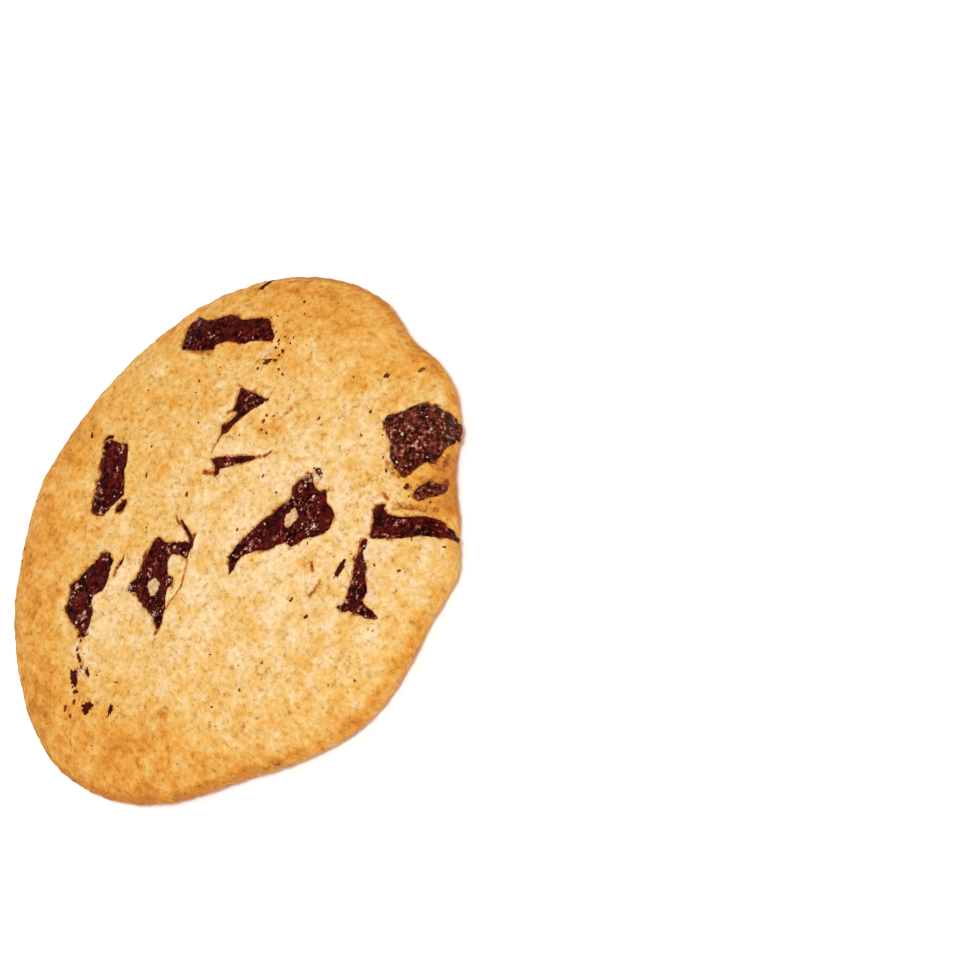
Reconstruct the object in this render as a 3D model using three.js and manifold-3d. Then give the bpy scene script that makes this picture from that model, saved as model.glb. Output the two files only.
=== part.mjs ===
// A chocolate chip cookie, baked as one flat round of dough on a tray, with broken chunks of dark chocolate
// sunk in its top. Millimetres, +Z up. The origin is under the middle of the outline, on the flat underside.
import * as THREE from 'three';
import { mergeVertices } from 'three/addons/utils/BufferGeometryUtils.js';
import Module from 'manifold-3d';

const wasm = await Module();
wasm.setup();

// The round of dough
const cookieRadius = 45;
const cornerRadius = 1.9; // rounding from the widest line down to the underside
const shoulderInset = 10.5; // how far in from the edge the top stops rising steeply
const shoulderRise = 4.6; // how much it rises over that distance
const domeRise = 1.5; // the slow rise from the edge to the middle
const roundTurns = 96;

// The dough spread unevenly, so its edge bulges and draws in: [towards, half width, both in degrees, height]
const edgeBulges = [
  [20, 26, 0.8],
  [75, 22, -0.8],
  [105, 8, 0.6],
  [124, 9, -0.3],
  [177, 22, 1.6],
  [227, 18, -2.6], // the flattened side
  [262, 15, 1.6],
  [290, 7, 1.9], // where the long chunk pushed the dough out
  [311, 8, -1.7], // the notch beside it
  [330, 7, 0.6], // the chunk that broke out of the edge
  [348, 8, -1.6],
];

// Swellings and hollows of the top: [x, y, reach, rise]
const swells = [
  [13.2, -36.8, 5.0, 0.9], // the flap of dough between the band and the post
  [17.6, 3.6, 3.2, 0.7], // the fold beside the hook
  [12.6, 5.6, 2.4, 0.5],
  [18.0, -0.6, 2.6, -0.6], // the dent behind that fold
  [-20.0, -13.0, 10.0, 0.6],
  [-12.0, 9.0, 7.0, -0.4],
  [-2.0, -25.0, 6.0, -0.4],
  [33.0, 4.0, 8.0, 0.5],
  [10.0, 24.0, 9.0, 0.4],
  [28.0, -33.0, 4.0, -0.6], // where the edge broke below the lump
];

// Chunks of chocolate
const chunkDepth = 3.6; // how far a chunk reaches down into the dough
const pocketGap = 0.4; // between a chunk and the dough round it
const floorLeft = 1.3; // the least dough under a chunk
const pocketOpening = 4; // how far the cutter reaches over the dough
const cornerEase = 0.28; // how far the corners of a broken piece have melted round
const stepsPerSide = 2;

// Each chunk: how far it stands proud of the dough, its middle, and the corners of its outline, clockwise
const chunks = {
  bar: {
    proud: 0.3,
    middle: [27.4, 22.2],
    corners: [[20.6, 29], [22.6, 31.2], [26.3, 31.2], [29.6, 24.6], [31.4, 19], [32.9, 14.9], [30, 11.2],
      [26.6, 18], [23.4, 22.8]],
  },
  hook: {
    proud: -0.2,
    middle: [19.8, 7],
    corners: [[20.2, 11.6], [21.9, 4.7], [15, 7.4], [12.9, 8.5], [14, 9.9], [17, 9.2], [17.2, 10.8]],
  },
  wedge: {
    proud: -0.2,
    middle: [9.6, 4],
    corners: [[8.9, 7.8], [11, 4], [13, -0.3], [10.2, 1.7], [6.8, 5.4]],
  },
  slab: {
    proud: 0.2,
    middle: [-4.6, 24.8],
    corners: [[0.2, 32.2], [1.9, 30.2], [2.4, 26.4], [-3, 22.2], [-5.4, 18.8], [-8, 19.6], [-10.2, 24.8],
      [-6.3, 27.3]],
  },
  leaf: {
    proud: 0.1,
    middle: [-21.1, 16],
    corners: [[-13.5, 16.5], [-13.3, 14.3], [-18, 11.6], [-20.7, 13.2], [-23, 11.2], [-26.4, 10],
      [-26.6, 13.6], [-25.4, 17.4], [-21.8, 19.4], [-17.5, 18.1]],
  },
  kite: {
    proud: 0.1,
    middle: [-9.6, 6.2],
    corners: [[-6.5, 8], [-6.2, 5.2], [-2.7, 0.9], [-6, -0.4], [-7.4, 1.9], [-8.8, 2.6], [-10.3, 1.4],
      [-11.2, -0.9], [-13.8, -1.8], [-18.2, -3.9], [-16.8, 1], [-16.3, 6.6], [-9.6, 8.2]],
  },
  shard: {
    proud: 0.2,
    middle: [9.6, -14],
    corners: [[-3.9, -10], [-2, -8.1], [1, -8.3], [6, -9.6], [12.8, -11.1], [17, -13], [15.4, -16.6],
      [12.2, -21.7], [7.4, -19.7], [4.4, -15.7], [0.8, -12.1]],
  },
  lump: {
    proud: 0.9,
    middle: [30, -25.4],
    corners: [[28.6, -19.2], [31.2, -19.3], [34.6, -22.2], [36, -25.6], [34.7, -28.2], [32.4, -29.8],
      [28.6, -29.9], [24.2, -28.4], [24.6, -25.6], [26.4, -22.6]],
  },
  stub: {
    proud: 0.2,
    middle: [24.7, -32.9],
    corners: [[22.3, -32.2], [23.5, -31], [25.6, -31.7], [26.8, -33.5], [25.2, -34.7], [23.2, -33.5]],
  },
  band: {
    proud: -0.2,
    middle: [18, -32.4],
    corners: [[17.6, -27], [18.4, -29.8], [19.2, -32.6], [21.7, -36.4], [21.3, -39.7], [20.3, -41],
      [19.6, -39.9], [18.3, -37.6], [15.6, -33.9], [13.8, -30.1]],
  },
  post: {
    proud: -0.3,
    middle: [4.2, -34.4],
    corners: [[12.5, -29.1], [13.1, -30.4], [9.4, -33.2], [7.2, -35.1], [5.2, -35.8], [4.5, -39.4],
      [3.3, -38.6], [3, -35.5], [2, -33.2], [4.6, -32.7], [8.4, -30.6]],
  },
};

// Small chips that lie in the crust: [x, y, length, width, turn in degrees]
const chips = [
  [-32.9, 6.6, 4.2, 1.8, 55],
  [-35.1, 0.3, 3.6, 2.4, 120],
  [-32.8, -4.4, 2.2, 1.1, 30],
  [-30.8, 4.5, 2.8, 1.2, 70],
  [7.0, -28.6, 3.6, 1.2, 5],
  [37.0, 23.1, 3.2, 1.6, 175],
  [26.0, 10.2, 2.4, 1.2, 150],
];
const chipRise = 0.5;

const doughMaterial = new THREE.MeshStandardMaterial({ color: 0xe9b465, roughness: 0.8, metalness: 0 });
const chocolateMaterial = new THREE.MeshStandardMaterial({ color: 0x4a120a, roughness: 0.4, metalness: 0 });

// The edge's distance from the middle, towards an angle: a bell for each bulge, by the turn away from it.
function edgeRadius(angle) {
  return edgeBulges.reduce((sum, [towards, halfWidth, height]) => {
    const away = angle - THREE.MathUtils.degToRad(towards);
    const turn = THREE.MathUtils.radToDeg(Math.atan2(Math.sin(away), Math.cos(away)));
    return sum + height * Math.exp(-((turn / halfWidth) ** 2));
  }, cookieRadius);
}

// The height of the top at a place in the round of radius cookieRadius: a quarter ellipse at the shoulder,
// and a low dome over the whole.
function roundHeight(r) {
  const inset = THREE.MathUtils.clamp(cookieRadius - r, 0, shoulderInset);
  const shoulder = Math.sqrt(1 - ((shoulderInset - inset) / shoulderInset) ** 2);
  const dome = Math.max(0, 1 - (r / cookieRadius) ** 2) ** 2;
  return cornerRadius + shoulderRise * shoulder + domeRise * dome;
}

// The height of the top over a place of the real, uneven cookie. The swells fade out towards the edge.
function topHeight(x, y) {
  const r = (Math.hypot(x, y) * cookieRadius) / edgeRadius(Math.atan2(y, x));
  const fade = THREE.MathUtils.smoothstep(cookieRadius - r, 0, shoulderInset / 2);
  const swell = swells.reduce(
    (sum, [atX, atY, reach, rise]) => sum + rise * Math.exp(-((x - atX) ** 2 + (y - atY) ** 2) / reach ** 2),
    0,
  );
  return roundHeight(r) + fade * swell;
}

// Turns a profile round the axis, then lays each of its points where place(share of a turn, point) says.
function moulded(profile, turns, place) {
  const lathe = new THREE.LatheGeometry(profile, turns);
  const position = lathe.getAttribute('position');
  for (let turn = 0; turn <= turns; turn += 1) {
    profile.forEach((point, j) => {
      position.setXYZ(turn * profile.length + j, ...place((turn % turns) / turns, point));
    });
  }
  lathe.deleteAttribute('normal');
  lathe.deleteAttribute('uv');
  return mergeVertices(lathe);
}

// A closed geometry as a solid to cut and join.
function solidOf(geometry) {
  return new wasm.Manifold(new wasm.Mesh({
    numProp: 3,
    vertProperties: new Float32Array(geometry.getAttribute('position').array),
    triVerts: new Uint32Array(geometry.index.array),
  }));
}

function geometryOf(solid) {
  const mesh = solid.getMesh();
  return new THREE.BufferGeometry()
    .setAttribute('position', new THREE.BufferAttribute(mesh.vertProperties, mesh.numProp))
    .setIndex(new THREE.BufferAttribute(mesh.triVerts, 1));
}

// The round's profile from the middle of the underside, out round the corner, and over the top to the middle.
function roundProfile() {
  const points = [];
  const baseRadius = cookieRadius - cornerRadius;
  for (const share of [0, 0.5, 0.88]) points.push(new THREE.Vector2(baseRadius * share, 0));
  const cornerSteps = 3;
  for (let i = 0; i <= cornerSteps; i += 1) {
    const a = (i / cornerSteps) * (Math.PI / 2);
    points.push(new THREE.Vector2(baseRadius + cornerRadius * Math.sin(a), cornerRadius * (1 - Math.cos(a))));
  }
  const shoulderSteps = 7;
  for (let i = 1; i <= shoulderSteps; i += 1) {
    const r = cookieRadius - shoulderInset * (1 - Math.cos((i / shoulderSteps) * (Math.PI / 2)));
    points.push(new THREE.Vector2(r, roundHeight(r)));
  }
  const topSteps = 9;
  for (let i = topSteps - 1; i >= 0; i -= 1) {
    const r = ((cookieRadius - shoulderInset) * i) / topSteps;
    points.push(new THREE.Vector2(r, roundHeight(r)));
  }
  return points;
}

// The whole round of dough, before the chunks are let in.
function roundOfDough() {
  return solidOf(moulded(roundProfile(), roundTurns, (share, point) => {
    const angle = share * 2 * Math.PI;
    const r = (point.x * edgeRadius(angle)) / cookieRadius;
    const x = r * Math.cos(angle);
    const y = r * Math.sin(angle);
    return [x, y, point.y > cornerRadius ? topHeight(x, y) : point.y];
  }));
}

// A chunk's outline as a closed curve through its corners, anticlockwise.
function outlineOf(chunk) {
  const corners = chunk.corners.map(([x, y]) => new THREE.Vector3(x, y, 0)).reverse();
  return new THREE.CatmullRomCurve3(corners, true, 'catmullrom', cornerEase);
}

// A solid under a chunk's outline, grown by a margin. Each point of its profile holds two shares: of the way
// out from the chunk's middle to the outline, and of the way up from its underside to its top.
function chunkSolid(chunk, profile, { margin, down, up, lowest }) {
  const curve = outlineOf(chunk);
  const turns = chunk.corners.length * stepsPerSide;
  const [midX, midY] = chunk.middle;
  const points = profile.map(([out, high]) => new THREE.Vector2(out, high));
  return solidOf(moulded(points, turns, (share, point) => {
    const edge = curve.getPoint(share);
    const along = curve.getTangent(share);
    const x = midX + (edge.x + along.y * margin - midX) * point.x;
    const y = midY + (edge.y - along.x * margin - midY) * point.x;
    const surface = topHeight(x, y);
    return [x, y, THREE.MathUtils.lerp(Math.max(lowest, surface - down), surface + up, point.y)];
  }));
}

// A chunk has a softly rounded top edge and a flat underside.
function chunkBody(chunk) {
  const profile = [[0, 0], [0.86, 0], [1, 0.2], [1, 0.8], [0.93, 0.95], [0.7, 1], [0, 1]];
  return chunkSolid(chunk, profile, {
    margin: 0, down: chunkDepth, up: chunk.proud, lowest: floorLeft + pocketGap,
  });
}

// The pocket that a chunk sits in, open at the top.
function pocketOf(chunk) {
  const profile = [[0, 0], [1, 0], [1, 1], [0, 1]];
  return chunkSolid(chunk, profile, {
    margin: pocketGap, down: chunkDepth + pocketGap, up: pocketOpening, lowest: floorLeft,
  });
}

// A small chip, flat and round-edged, half sunk in the crust.
function chipSolid([x, y, length, width, turn]) {
  const chip = new THREE.SphereGeometry(1, 8, 4);
  chip.deleteAttribute('normal');
  chip.deleteAttribute('uv');
  chip.rotateX(Math.PI / 2);
  chip.scale(length / 2, width / 2, chipRise);
  chip.rotateZ(THREE.MathUtils.degToRad(turn));
  chip.translate(x, y, topHeight(x, y));
  return solidOf(mergeVertices(chip));
}

function named(name, solid, material) {
  const mesh = new THREE.Mesh(geometryOf(solid), material);
  mesh.name = name;
  return mesh;
}

const cookie = new THREE.Group();
let dough = roundOfDough();
for (const [name, chunk] of Object.entries(chunks)) {
  dough = dough.subtract(pocketOf(chunk));
  cookie.add(named(`chunk_${name}`, chunkBody(chunk), chocolateMaterial));
}
for (const chip of chips) dough = dough.add(chipSolid(chip));
cookie.add(named('dough', dough, doughMaterial));

// The uneven edge reaches further to one side, so the whole is moved to stand centred on the origin.
const middle = new THREE.Box3().setFromObject(cookie).getCenter(new THREE.Vector3());
cookie.position.set(-middle.x, -middle.y, 0);

export default cookie;
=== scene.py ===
"""A chocolate chip cookie: a round of baked dough with broken chunks of dark chocolate sunk in its top.

The shapes are worked out in millimetres, in the cookie's own plan, and a finished mesh is in metres.
"""

import math

import bpy
import numpy as np
from mathutils import Matrix, Vector


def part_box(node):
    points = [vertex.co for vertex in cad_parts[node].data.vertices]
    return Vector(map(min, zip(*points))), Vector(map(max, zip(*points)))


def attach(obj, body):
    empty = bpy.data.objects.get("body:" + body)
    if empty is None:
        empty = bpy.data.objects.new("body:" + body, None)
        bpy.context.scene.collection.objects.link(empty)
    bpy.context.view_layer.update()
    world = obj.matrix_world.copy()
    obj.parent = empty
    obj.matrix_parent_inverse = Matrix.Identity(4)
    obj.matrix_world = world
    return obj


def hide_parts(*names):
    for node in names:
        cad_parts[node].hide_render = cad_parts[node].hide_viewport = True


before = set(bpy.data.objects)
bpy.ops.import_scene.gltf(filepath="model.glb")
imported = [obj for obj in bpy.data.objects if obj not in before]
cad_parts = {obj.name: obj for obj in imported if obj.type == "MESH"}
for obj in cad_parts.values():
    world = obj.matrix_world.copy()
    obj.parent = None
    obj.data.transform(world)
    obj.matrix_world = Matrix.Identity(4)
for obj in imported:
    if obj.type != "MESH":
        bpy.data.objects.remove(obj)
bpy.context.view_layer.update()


# The round of dough. Soft dough of flour, butter and brown sugar spread from one scoop on a tray and set
# there: the underside is flat, the edge ran out unevenly and rounded over, and the top is a low crown.

COOKIE_RADIUS = 45.0
CORNER_RADIUS = 1.9
SHOULDER_INSET = 10.5
SHOULDER_RISE = 4.6
DOME_RISE = 1.5

# Where the edge bulges and draws in: towards, half width, both in degrees, and height.
EDGE_BULGES = [
    (20, 26, 0.8),
    (75, 22, -0.8),
    (105, 8, 0.6),
    (124, 9, -0.3),
    (177, 22, 1.6),
    (227, 18, -2.6),
    (262, 15, 1.6),
    (290, 7, 1.9),
    (311, 8, -1.7),
    (330, 7, 0.6),
    (348, 8, -1.6),
]

# Swellings and hollows of the top: x, y, reach, rise.
SWELLS = [
    (13.2, -36.8, 5.0, 0.9),
    (17.6, 3.6, 3.2, 0.7),
    (12.6, 5.6, 2.4, 0.5),
    (18.0, -0.6, 2.6, -0.6),
    (-20.0, -13.0, 10.0, 0.6),
    (-12.0, 9.0, 7.0, -0.4),
    (-2.0, -25.0, 6.0, -0.4),
    (33.0, 4.0, 8.0, 0.5),
    (10.0, 24.0, 9.0, 0.4),
    (28.0, -33.0, 4.0, -0.6),
]


def edge_radius(angle):
    """The edge's distance from the middle: a constant plus a Gaussian bell for each bulge, by the turn away
    from it, taken the short way round."""
    total = np.full_like(angle, COOKIE_RADIUS)
    for towards, half_width, height in EDGE_BULGES:
        away = np.degrees(np.angle(np.exp(1j * (angle - math.radians(towards)))))
        total += height * np.exp(-((away / half_width) ** 2))
    return total


def smoothstep(value, low, high):
    """0 below low and 1 above high, and between them 3t^2 - 2t^3 of the share t of the way."""
    t = np.clip((value - low) / (high - low), 0, 1)
    return t * t * (3 - 2 * t)


def dome(r):
    """The slow rise to the middle: (1 - (r / radius)^2)^2 of its height."""
    return DOME_RISE * np.clip(1 - (r / COOKIE_RADIUS) ** 2, 0, 1) ** 2


def evened(x, y):
    """How far out a place lies on an even round cookie: its distance times the radius over the edge's."""
    return np.hypot(x, y) * COOKIE_RADIUS / edge_radius(np.arctan2(y, x))


def bells(x, y, rows):
    """Round Gaussian bells added up, each its height times exp(-(distance / reach)^2)."""
    total = np.zeros_like(x)
    for at_x, at_y, reach, height in rows:
        total += height * np.exp(-((x - at_x) ** 2 + (y - at_y) ** 2) / reach**2)
    return total


def swell(x, y):
    """The swellings and hollows: a bell for each, faded out over the outer half of the shoulder."""
    return bells(x, y, SWELLS) * smoothstep(COOKIE_RADIUS - evened(x, y), 0, SHOULDER_INSET / 2)


def top_height(x, y):
    """The top over a place: the corner, a quarter ellipse over the shoulder, the dome and the swells."""
    r = evened(x, y)
    inset = np.clip(COOKIE_RADIUS - r, 0, SHOULDER_INSET)
    shoulder = SHOULDER_RISE * np.sqrt(1 - (1 - inset / SHOULDER_INSET) ** 2)
    return CORNER_RADIUS + shoulder + dome(r) + swell(x, y)


def soft_noise(points, size, seed):
    """Gradient noise from about -1 to 1. Space is cut in cubes of the size, each corner holds a random
    direction, and a point's value is its offset from each of its eight corners along that corner's
    direction, blended along each axis by 6t^5 - 15t^4 + 10t^3."""
    draw = np.random.default_rng(seed)
    directions = draw.normal(size=(256, 3))
    directions /= np.linalg.norm(directions, axis=1)[:, None]
    order = draw.permutation(256)
    place = points / size
    cell = np.floor(place).astype(int)
    t = place - cell
    blend = t**3 * (t * (6 * t - 15) + 10)
    total = np.zeros(len(points))
    for corner in np.ndindex(2, 2, 2):
        i, j, k = (cell + corner).T & 255
        chosen = directions[order[(order[(order[i] + j) & 255] + k) & 255]]
        weight = np.where(corner, blend, 1 - blend).prod(axis=1)
        total += weight * (chosen * (t - corner)).sum(axis=1)
    return 1.6 * total


def noises(points, layers):
    """Soft noises of several sizes added up. Each layer is a strength, a size and a seed."""
    return sum(strength * soft_noise(points, size, seed) for strength, size, seed in layers)


# Outlines of the chunks' places, clockwise, by name.
CHUNK_CORNERS = {
    "bar": [(20.4, 28.8), (22.5, 30.8), (24.5, 31.9), (26.4, 31), (27, 28), (29.8, 24.3), (30.2, 20.9),
            (31.6, 18.5), (32.7, 15.5), (31.8, 14), (30.8, 12.2), (29.9, 12), (28.4, 15.2), (26.7, 17.8),
            (25.8, 20.7), (24.1, 22.6), (23.2, 22.6)],
    "hook": [(20.8, 11.8), (21.1, 10), (21.8, 4.6), (19.4, 5.9), (16.6, 7.1), (15.3, 7.7), (13.5, 7.9),
             (12.9, 8.9), (14.1, 10.2), (15.2, 9.1), (17.2, 8.8), (17, 10.1), (18.5, 10.5)],
    "wedge": [(8.8, 7.5), (10.6, 4.6), (13.1, 0), (12.8, -0.8), (11, 1.2), (9, 3.5), (8.3, 4.5), (7.4, 3.9),
              (6.9, 5), (8.1, 5.9)],
    "slab": [(0, 32.1), (1.2, 31), (1.8, 28), (2.4, 26.7), (1.4, 25.5), (-0.3, 24), (-1.4, 23.8),
             (-3.1, 21.6), (-4.8, 20.4), (-7.3, 21.3), (-9.2, 21.8), (-10.3, 23.6), (-9.9, 25.4),
             (-6.5, 27.4), (-4.2, 28.3), (-3.6, 29.7), (-1.7, 30.8)],
    "leaf": [(-13.8, 16.8), (-13.8, 14.2), (-15.8, 13.3), (-17.2, 12.2), (-18.9, 11.8), (-20.3, 13),
             (-21.5, 12.8), (-22.8, 11.2), (-25.4, 9.9), (-26.8, 11), (-26.3, 14.7), (-25.5, 17.4),
             (-23.8, 17.8), (-21.8, 19.4), (-20.2, 18.5), (-18.6, 18.3), (-15.8, 17.4)],
    "kite": [(-7.6, 8.2), (-6.4, 7.7), (-6.4, 5.6), (-5.3, 3.5), (-4.1, 0.7), (-5, -0.3), (-6.4, -0.5),
             (-6.7, 2), (-7.9, 2.8), (-9, 2.4), (-10.3, 0.8), (-10, -0.5), (-11.1, -1.2), (-12.1, -0.7),
             (-14, -2.2), (-17.2, -4.2), (-18.2, -3.5), (-17.1, -1.3), (-16.5, 3.5), (-16, 4.9), (-16.5, 7.2),
             (-15.4, 7.7), (-14, 7.2), (-10.9, 7.9)],
    "shard": [(-4, -10.6), (-3.2, -9.2), (-2.1, -8.2), (1, -8.4), (4.9, -9.5), (6.4, -9.9), (7.1, -10.5),
              (9.4, -11.2), (11.1, -12), (12.7, -11), (14.4, -11.4), (16.1, -12.7), (15.2, -14),
              (14.7, -15.5), (15.3, -17), (14, -18.7), (13.6, -20.5), (12.4, -21.8), (10.6, -22.3),
              (8.8, -21.1), (7.3, -19.3), (5.5, -18.2), (4.9, -16.3), (3.9, -15.2), (2.7, -14.5),
              (0.8, -11.8), (-1.1, -10.4)],
    "lump": [(28.9, -19), (30.4, -18.9), (32, -20.5), (33.5, -21.3), (35, -22.4), (35.8, -24.7),
             (35.9, -26.4), (35.2, -28.2), (33.7, -29.5), (31.5, -29.8), (28.2, -30.3), (27.6, -29.2),
             (24.9, -28.6), (23.8, -28.1), (24.2, -25.8), (25.4, -23.9), (27, -22.6), (27.9, -20.5)],
    "stub": [(22.3, -31.6), (23.8, -31.1), (25.5, -31.7), (26.2, -33.2), (26.7, -33.8), (25.9, -34.5),
             (24.5, -34.5), (23.3, -33.5), (22.1, -33)],
    "band": [(17.3, -27.1), (18.2, -27.5), (19, -28.9), (18.3, -28.9), (18, -30.4), (18.8, -32.7),
             (20.8, -35.5), (21.7, -37.6), (21.4, -39.6), (20.4, -41.2), (19.8, -40.2), (18.4, -37.9),
             (15.9, -35), (13.4, -30.2), (15.5, -28.6)],
    "post": [(12.4, -28.9), (13, -29.7), (12.3, -30.6), (10.9, -30.7), (9.8, -32.7), (8.1, -33.9),
             (6.6, -35.5), (4.9, -35.7), (4.7, -37.8), (4.2, -39.6), (3.4, -38.5), (2.7, -35.4), (1.8, -33.3),
             (1.8, -32), (3, -32.9), (6.1, -31.8), (9.2, -30.2), (11.6, -29.2)],
}
CORNER_EASE = 0.28  # how far the corners of the broken pieces have melted round

# Bits that broke off a chunk and lie beside it.
CHUNK_BITS = {
    "slab": [[(-5, 19.3), (-5.8, 18.6), (-7.1, 18.9), (-7.8, 19.4), (-7.7, 20.1), (-6.8, 20.2), (-5.5, 20)]],
}

# Thin runs of chocolate that left a chunk while it was soft: x, y and half the width, point by point.
CHUNK_RUNS = {
    "hook": [[(13.2, 8.8, 0.3), (12, 8.7, 0.22), (10.3, 8.4, 0.1)]],
    "slab": [[(0.3, 32.3, 0.25), (1.3, 32.1, 0.35), (1.8, 31, 0.3)]],
    "leaf": [[(-12.5, 12.4, 0.2), (-13.5, 12.1, 0.35), (-14.6, 12.2, 0.15)],
             [(-27.1, 11, 0.35), (-26, 9.3, 0.25)]],
    "kite": [[(-2.1, 5.2, 0.2), (-2.6, 3.6, 0.35), (-3.4, 1.1, 0.4), (-4.4, 0, 0.5)],
             [(-2.3, 0.7, 0.18), (-3.7, 0.5, 0.35)]],
    "shard": [[(17.1, -13.2, 0.45), (16.9, -14.2, 0.35), (16.3, -15, 0.15)]],
}


def outline(corners, steps):
    """A closed curve through the corners, anticlockwise, as points and outward normals. Between two corners
    it is a cubic whose slope at each is the ease times the chord between that corner's neighbours."""
    corner = np.array(corners, float)[::-1]
    slope = CORNER_EASE * (np.roll(corner, -1, 0) - np.roll(corner, 1, 0))
    share = np.arange(steps) * len(corner) / steps
    i = share.astype(int)
    j = (i + 1) % len(corner)
    t = (share - i)[:, None]
    points = (
        (2 * t**3 - 3 * t**2 + 1) * corner[i]
        + (t**3 - 2 * t**2 + t) * slope[i]
        + (3 * t**2 - 2 * t**3) * corner[j]
        + (t**3 - t**2) * slope[j]
    )
    along = np.roll(points, -1, 0) - np.roll(points, 1, 0)
    along /= np.linalg.norm(along, axis=1)[:, None]
    return points, np.stack([along[:, 1], -along[:, 0]], 1)


def to_stretch(x, y, ax, ay, bx, by):
    """The distance from a place to a straight stretch, and the share of its length at the nearest point: the
    offset from the start along the stretch over its length, held between 0 and 1."""
    t = np.clip(((x - ax) * (bx - ax) + (y - ay) * (by - ay)) / ((bx - ax) ** 2 + (by - ay) ** 2), 0, 1)
    return np.hypot(x - ax - t * (bx - ax), y - ay - t * (by - ay)), t


def outside(x, y, ring):
    """Distance from a closed ring of points, negative inside it: the least distance to its sides, with the
    sign from how many sides a ray towards +x meets."""
    nearest = np.full(x.shape, np.inf)
    inside = np.zeros(x.shape, bool)
    for (ax, ay), (bx, by) in zip(ring, np.roll(ring, -1, 0)):
        nearest = np.minimum(nearest, to_stretch(x, y, ax, ay, bx, by)[0])
        if ay != by:
            inside ^= ((ay > y) != (by > y)) & (x < ax + (y - ay) * (bx - ax) / (by - ay))
    return np.where(inside, -nearest, nearest)


# Streaks of melted chocolate and darkened creases in the crust: points along each, its width, and how
# dark it is, from 0.4 for a golden crease to 1 for chocolate. A streak's dark is the chocolate's stain; a
# crease's dark is partly browning and partly painted shade.
STREAKS = [
    ([(10.3, 8.5), (9.1, 8)], 0.25, 0.5),
    ([(20.9, 11.2), (21, 12.5)], 0.4, 0.62),
    ([(17.3, 9.4), (16.2, 10.6)], 0.5, 0.56),
    ([(21.9, 4.7), (22.8, 4.7), (24.2, 5)], 0.3, 0.46),
    ([(13, -0.4), (14, -1.9), (14.6, -2.6), (15.3, -2.6)], 0.4, 0.66),
    ([(11.8, 0.2), (10.4, 1.6)], 0.6, 0.52),
    ([(7.2, 4.4), (6.3, 7)], 0.6, 0.68),
    ([(-2, 6.6), (-2.6, 5.6), (-2.6, 4.6)], 0.3, 0.68),
    ([(-6.5, -1), (-8.3, -2.2), (-10.7, -3.1), (-14.7, -3)], 0.35, 0.58),
    ([(-17.8, -4.1), (-18.8, -4.2)], 0.6, 0.62),
    ([(-15, 12.1), (-15.8, 11.7)], 0.6, 0.58),
    ([(-22.8, 22.8), (-23.8, 22), (-24.1, 20.7)], 0.35, 0.58),
    ([(-5.4, 18.6), (-7.4, 18.6)], 0.5, 0.58),
    ([(22.6, 22.4), (21, 27)], 0.7, 0.56),
    ([(5, -23.2), (4.2, -24.1)], 0.55, 0.66),
    ([(3.3, -26.5), (2.4, -26.8), (0.8, -26.3)], 0.7, 0.52),
    ([(8.7, 27.5), (10.8, 26.3)], 0.35, 0.5),
    ([(1.6, -13.4), (3.2, -15.2)], 0.5, 0.46),
    ([(20.2, -27.1), (19.6, -28.4)], 0.7, 0.46),
    ([(24.2, -23.9), (23.4, -27.6)], 0.8, 0.5),
    ([(28.2, -31.2), (30.6, -31.4)], 1.5, 0.56),
    ([(26.8, -33.2), (27.6, -34.6)], 1.2, 0.56),
    ([(24.6, -30.6), (28.4, -32.8)], 1.4, 0.38),
    ([(23.3, -30.1), (22.8, -30.6)], 0.5, 0.6),
    ([(19.6, -30.6), (20.6, -33), (22.4, -36)], 1.1, 0.5),
    ([(19.9, -31.7), (21.1, -34)], 0.4, 0.6),
    ([(22.8, -34.8), (25.4, -36)], 1.2, 0.4),
    ([(20.3, -42.2), (18.6, -43.6), (16.6, -45), (14.3, -45.7)], 0.5, 0.62),
    ([(-31.7, -28.9), (-28.7, -31.6), (-25.1, -35), (-22.6, -37)], 0.8, 0.6),
    ([(17, 1.4), (18.6, 0.9), (21.9, -0.5), (26, -2.2)], 0.8, 0.38),
    ([(-30.4, 7), (-32.9, 6.6), (-33.4, 4.9)], 1.3, 0.38),
    ([(-34.4, 4.4), (-35, 0.3), (-33.2, -1.4)], 1.2, 0.38),
    ([(-35.8, 3.8), (-37.8, 4)], 0.9, 0.36),
    ([(-27.4, 9.8), (-29.4, 9)], 0.8, 0.36),
]

# Where loose flour and crumbs lie on the crust and the chocolate: x, y, reach.
FLOUR = [
    (11.8, -31.0, 1.0), (10.8, -32.4, 1.0), (9.2, -34.2, 1.2), (6.6, -36.4, 1.5), (16.2, -14.3, 1.0),
    (15.4, -12.6, 0.7), (9.6, -19.4, 0.8), (-12.9, 15.6, 0.8), (-21.3, 12.4, 0.9), (-25.4, 9.2, 1.2),
    (-8.4, 1.9, 1.0), (-10.7, -0.4, 0.6), (-15.9, 7.2, 0.9), (27.8, 11.2, 1.2), (19.4, 15.4, 1.0),
    (-28.9, 10.2, 0.8), (-31.6, 6.0, 0.9), (-16.8, -1.6, 1.0),
]


def distance_to_line(x, y, line):
    """The least distance from a place to the straight stretches between the points, less half the width of
    the line there, which runs evenly from point to point. Points without a width make a thin line."""
    nearest = np.full(x.shape, np.inf)
    for (ax, ay, *start), (bx, by, *end) in zip(line, line[1:]):
        away, t = to_stretch(x, y, ax, ay, bx, by)
        half = (1 - t) * sum(start) + t * sum(end)
        nearest = np.minimum(nearest, away - half)
    return nearest


def corners_of(grid):
    """The four corners of each cell of a grid, in turn, on a last axis."""
    return np.stack([grid[:-1, :-1], grid[1:, :-1], grid[1:, 1:], grid[:-1, 1:]], -1)


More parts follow.
